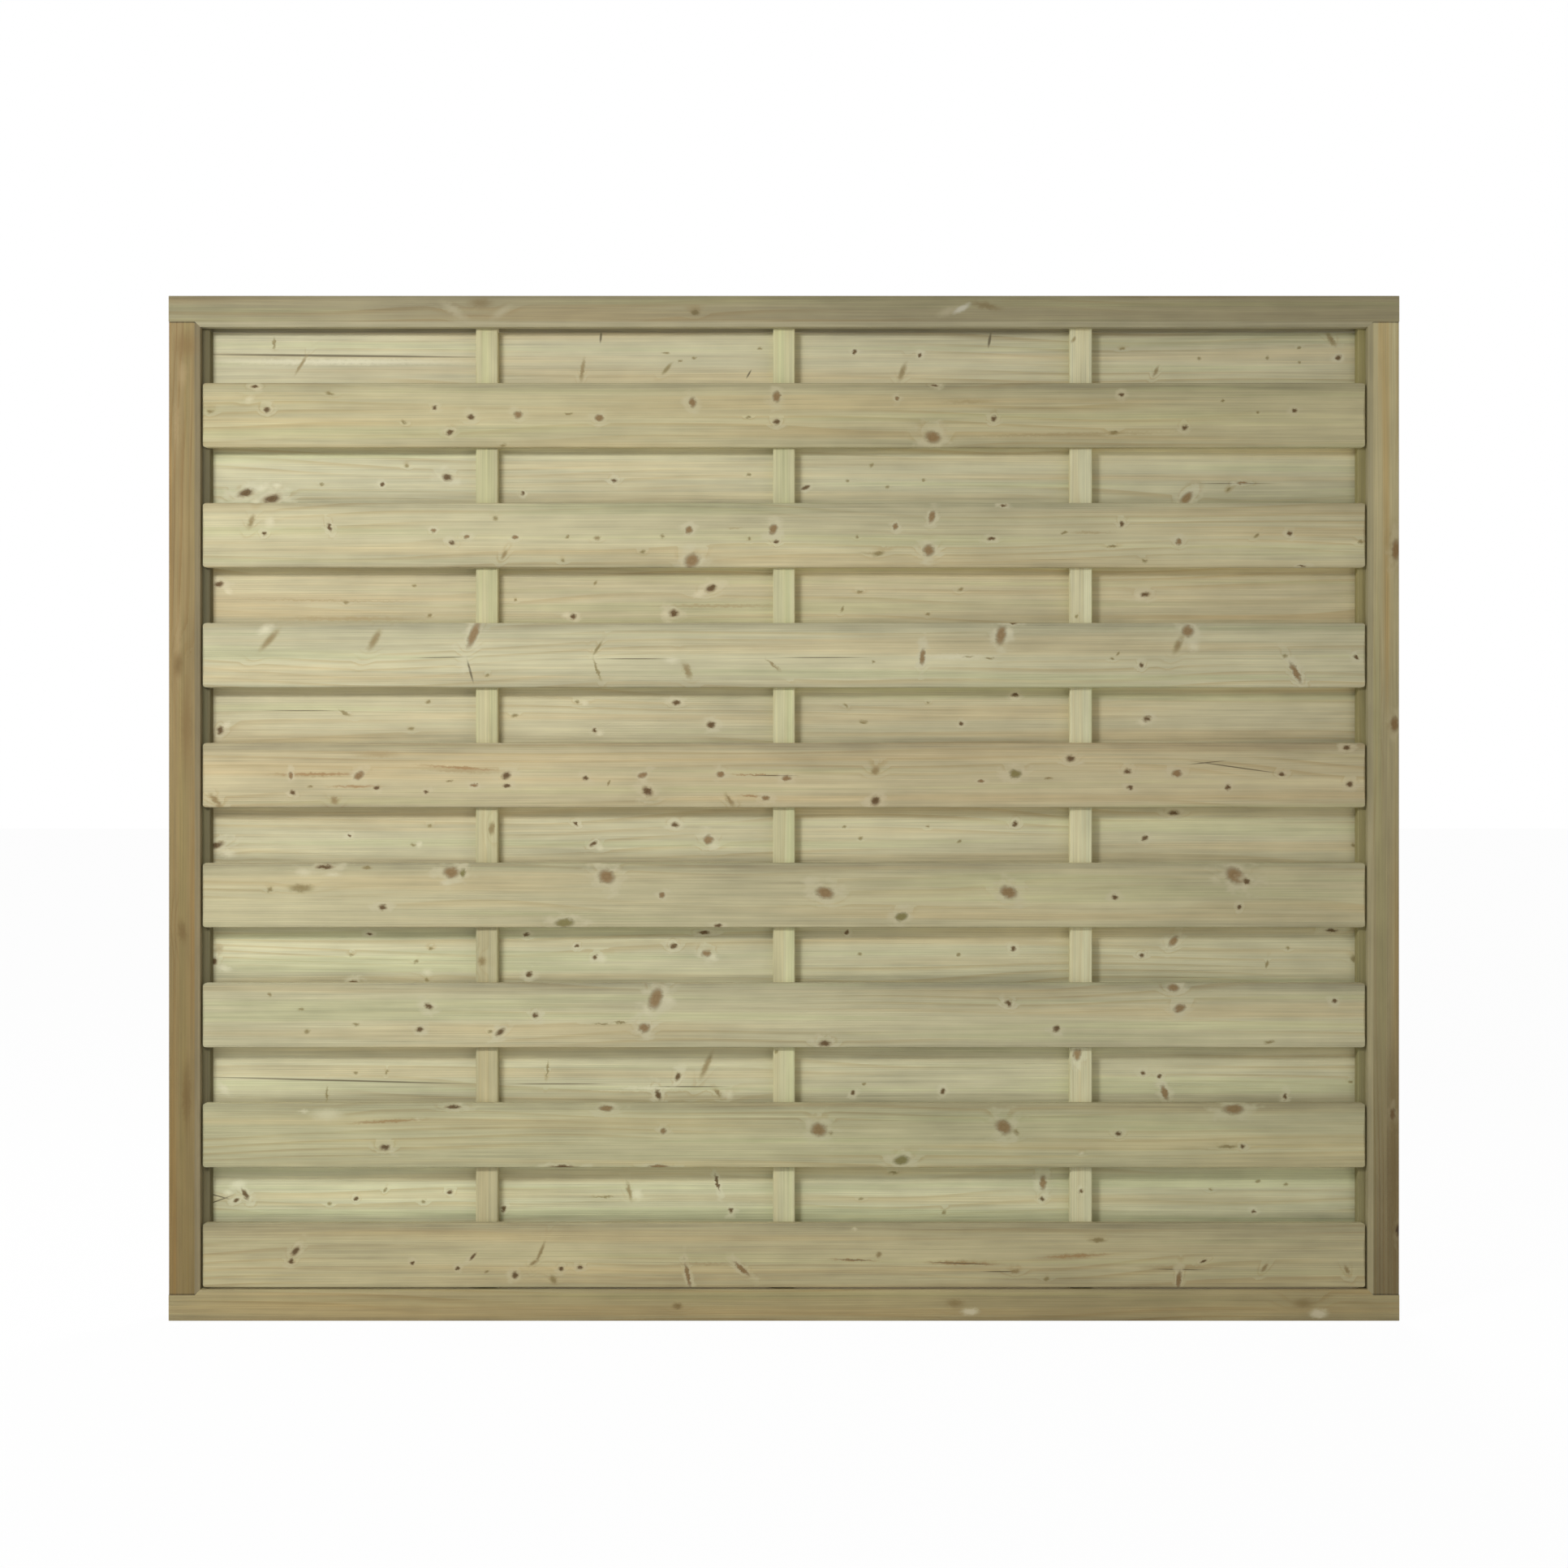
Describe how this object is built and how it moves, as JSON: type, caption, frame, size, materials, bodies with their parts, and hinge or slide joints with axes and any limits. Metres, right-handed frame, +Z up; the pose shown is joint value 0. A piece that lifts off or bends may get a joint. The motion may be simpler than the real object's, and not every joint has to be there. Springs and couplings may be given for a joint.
{
  "type": "wooden privacy screen panel",
  "caption": "Double-sided horizontal wooden screen panel: a grooved and mitred frame holding upright battens, with staggered slats on the front and the back that close each other's gaps.",
  "frame": {"origin": "middle of the outer face of the left stile, at mid-height and mid-depth, where the panel meets its post", "axes": "+X along the panel to the right seen from the front, +Y from the front through the panel to the back, +Z up"},
  "size_m": [1.8, 0.045, 1.5],
  "materials": {
    "frame_wood": "planed pressure-treated pine, greyed yellow-green",
    "batten_wood": "planed pressure-treated pine, pale",
    "front_slat_wood": "planed pressure-treated pine with brown and reddish knots",
    "back_slat_wood": "planed pressure-treated pine with brown knots"
  },
  "bodies": {
    "root": {"top_rail": "frame_wood", "bottom_rail": "frame_wood", "left_stile": "frame_wood", "right_stile": "frame_wood", "left_end_batten": "batten_wood", "left_batten": "batten_wood", "middle_batten": "batten_wood", "right_batten": "batten_wood", "right_end_batten": "batten_wood", "front_slat_1": "front_slat_wood", "front_slat_2": "front_slat_wood", "front_slat_3": "front_slat_wood", "front_slat_4": "front_slat_wood", "front_slat_5": "front_slat_wood", "front_slat_6": "front_slat_wood", "front_slat_7": "front_slat_wood", "front_slat_8": "front_slat_wood", "back_slat_1": "back_slat_wood", "back_slat_2": "back_slat_wood", "back_slat_3": "back_slat_wood", "back_slat_4": "back_slat_wood", "back_slat_5": "back_slat_wood", "back_slat_6": "back_slat_wood", "back_slat_7": "back_slat_wood", "back_slat_8": "back_slat_wood"}
  },
  "joints": []
}
